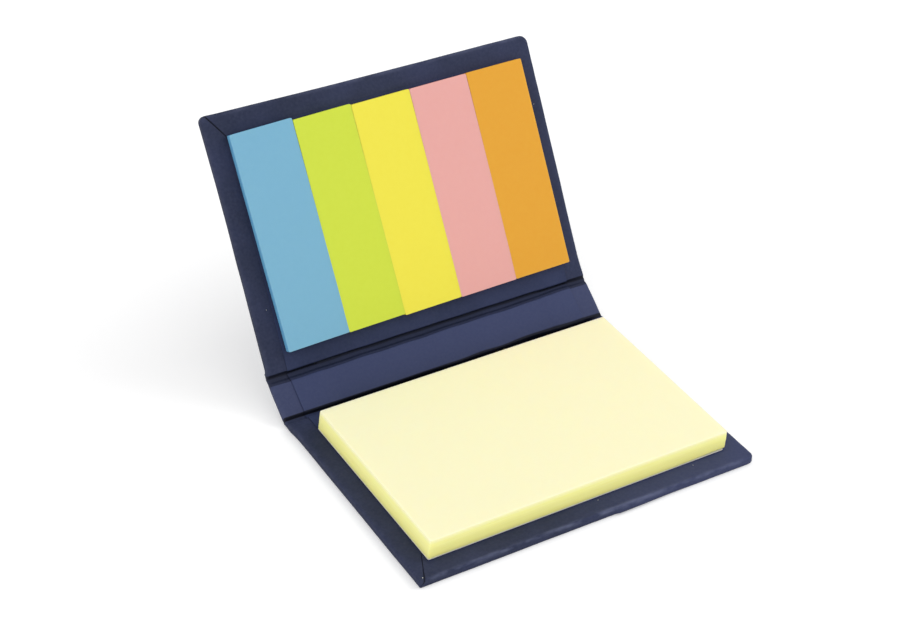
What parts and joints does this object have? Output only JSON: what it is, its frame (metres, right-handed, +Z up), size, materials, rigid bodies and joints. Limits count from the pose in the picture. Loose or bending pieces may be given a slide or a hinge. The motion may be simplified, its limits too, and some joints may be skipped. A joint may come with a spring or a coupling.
{
  "type": "hard-cover sticky note set",
  "caption": "Hinged paper-covered board case with a pad of sticky notes on its base and coloured page-marker pads inside its raised cover.",
  "frame": {"origin": "centre of the base board's flat underside", "axes": "+Z up out of the note pad, +Y from the base's fore edge towards the spine, +X along the folds, to the right when the open case faces the reader"},
  "size_m": [0.0844, 0.1011, 0.0599],
  "materials": {
    "case_paper": "matte navy covering paper, faintly mottled, worn a little paler along its edges",
    "liner_paper": "matte navy lining paper",
    "greyboard": "uncoated grey bookbinding board",
    "backing_sheet": "smooth off-white release sheet",
    "note_paper": "pale yellow uncoated writing paper, its cut edges finely layered",
    "blue_paper": "light blue uncoated paper",
    "green_paper": "lime green uncoated paper",
    "yellow_paper": "bright yellow uncoated paper",
    "pink_paper": "salmon pink uncoated paper",
    "orange_paper": "amber orange uncoated paper"
  },
  "bodies": {
    "base": {"base_wrap": "case_paper", "base_board": "greyboard", "base_liner": "liner_paper", "spine_fold": "case_paper", "note_backing": "backing_sheet", "note_pad": "note_paper"},
    "spine": {"spine_wrap": "case_paper", "spine_board": "greyboard", "spine_liner": "liner_paper", "cover_fold": "case_paper"},
    "cover": {"cover_wrap": "case_paper", "cover_board": "greyboard", "cover_liner": "liner_paper", "marker_backing": "backing_sheet", "marker_blue": "blue_paper", "marker_green": "green_paper", "marker_yellow": "yellow_paper", "marker_pink": "pink_paper", "marker_orange": "orange_paper"}
  },
  "joints": [
    {"name": "spine_hinge", "type": "hinge", "parent": "base", "child": "spine", "pos_m": [0, 0.0321, 0], "axis": [1, 0, 0], "range_deg": [-36, 54], "deforming": ["spine_fold"]},
    {"name": "cover_hinge", "type": "hinge", "parent": "spine", "child": "cover", "pos_m": [0, 0.04116, 0.00658], "axis": [1, 0, 0], "range_deg": [-24, 66], "deforming": ["cover_fold"]}
  ]
}
